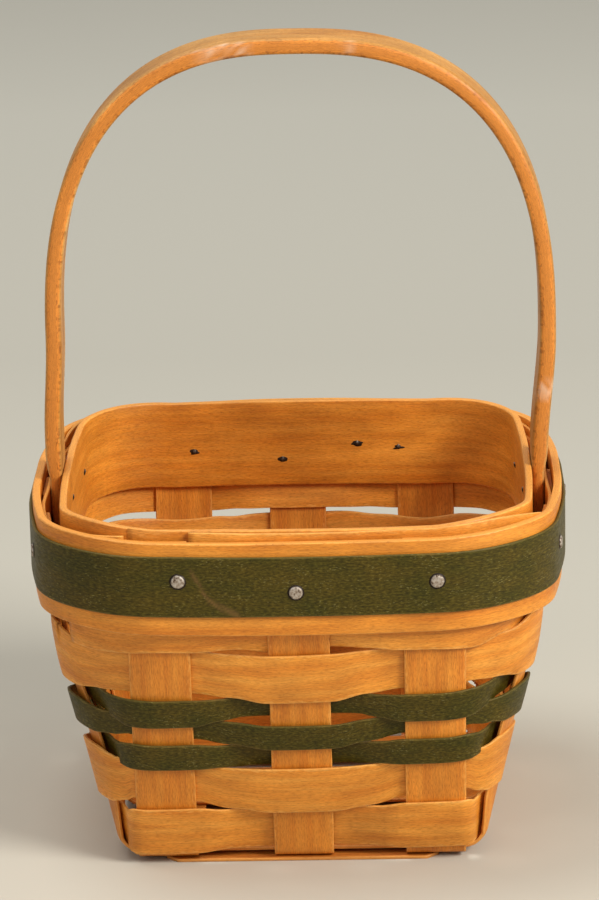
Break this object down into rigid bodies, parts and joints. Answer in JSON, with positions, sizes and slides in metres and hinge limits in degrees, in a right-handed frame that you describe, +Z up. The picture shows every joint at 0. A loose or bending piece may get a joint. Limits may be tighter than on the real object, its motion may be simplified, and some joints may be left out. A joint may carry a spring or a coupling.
{
  "type": "splint basket",
  "caption": "Small square basket woven of flat wooden splints, with dark green rows, a banded and nailed rim and a fixed bentwood handle.",
  "frame": {"origin": "on the floor under the middle of the base", "axes": "+Z up, -Y towards the front that the picture shows, the handle spans X"},
  "size_m": [0.1452, 0.134, 0.2148],
  "materials": {
    "stake_wood": "satin, honey-coloured maple splint",
    "filler_wood": "satin, honey-coloured maple splint",
    "row_wood": "satin, honey-coloured maple splint",
    "green_wood": "dark green stain, satin, worn at the edges",
    "band_wood": "satin, honey-coloured maple",
    "handle_wood": "satin, honey-coloured maple",
    "nail_steel": "dull grey steel"
  },
  "bodies": {
    "root": {"stake_left": "stake_wood", "stake_middle": "stake_wood", "stake_right": "stake_wood", "cross_stake_front": "stake_wood", "cross_stake_middle": "stake_wood", "cross_stake_back": "stake_wood", "edge_filler_front": "filler_wood", "base_filler_front": "filler_wood", "base_filler_back": "filler_wood", "edge_filler_back": "filler_wood", "row_1": "row_wood", "row_2": "row_wood", "row_3": "green_wood", "row_4": "green_wood", "row_5": "green_wood", "row_6": "row_wood", "row_7": "row_wood", "row_8": "row_wood", "inner_band": "band_wood", "outer_band": "band_wood", "trim_strip": "green_wood", "handle": "handle_wood", "nail_front_1": "nail_steel", "nail_front_2": "nail_steel", "nail_front_3": "nail_steel", "nail_back_1": "nail_steel", "nail_back_2": "nail_steel", "nail_back_3": "nail_steel", "nail_back_4": "nail_steel", "nail_right_1": "nail_steel", "nail_right_2": "nail_steel", "nail_right_3": "nail_steel", "nail_left_1": "nail_steel", "nail_left_2": "nail_steel", "nail_left_3": "nail_steel"}
  },
  "joints": []
}
